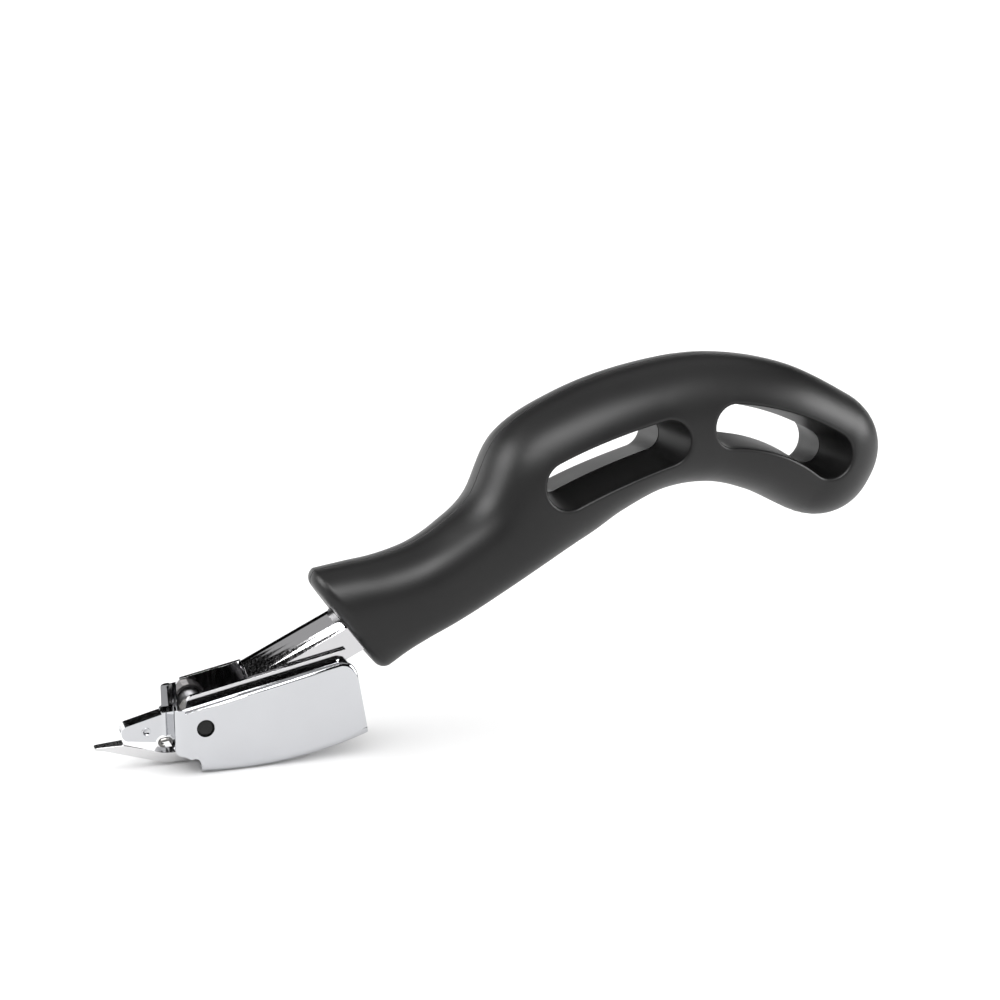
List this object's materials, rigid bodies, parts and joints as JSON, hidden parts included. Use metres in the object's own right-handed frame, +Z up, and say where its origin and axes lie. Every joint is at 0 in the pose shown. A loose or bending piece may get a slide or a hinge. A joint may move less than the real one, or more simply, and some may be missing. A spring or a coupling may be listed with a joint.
{
  "type": "staple remover",
  "caption": "Heavy-duty staple remover: a chromed pressed-steel head with a rocking sole, a fixed beak and a pivoting thin blade, on a curved two-shell plastic handle with through slots.",
  "frame": {"origin": "bottom centre of the bounding box, on the surface that the curved sole stands on", "axes": "+X from the blade tip to the tail of the handle, +Y to the right-hand side of the tool (the side away from the first view), +Z up"},
  "size_m": [0.1713, 0.028, 0.0772],
  "materials": {
    "plate_chrome": "polished chrome plating",
    "carrier_chrome": "polished chrome plating",
    "blade_steel": "chrome plating over hardened steel, ground tip",
    "black_oxide": "black oxide",
    "bare_steel": "turned steel",
    "spring_steel": "oil-hardened spring wire",
    "handle_plastic": "satin moulded ABS"
  },
  "bodies": {
    "heel_frame": {"left_side_plate": "plate_chrome", "right_side_plate": "plate_chrome", "beak_rivet": "plate_chrome", "pivot_pin": "black_oxide", "left_pivot_spacer": "bare_steel", "right_pivot_spacer": "bare_steel"},
    "lever": {"pivot_bush": "bare_steel", "torsion_spring": "spring_steel", "jaw_carrier": "carrier_chrome", "blade": "blade_steel", "blade_rivets": "bare_steel", "lever_arm": "carrier_chrome", "front_arm_pin": "bare_steel", "stop_pin": "bare_steel", "tang_pins": "bare_steel", "handle_left_shell": "handle_plastic", "handle_right_shell": "handle_plastic", "handle_screws": "bare_steel"}
  },
  "joints": [
    {"name": "jaw_pivot", "type": "hinge", "parent": "heel_frame", "child": "lever", "pos_m": [-0.0655, 0, 0.0094], "axis": [0, 1, 0], "range_deg": [0, 3.1], "stiffness_Nm_per_rad": 1.2, "springref_deg": -20.05}
  ]
}
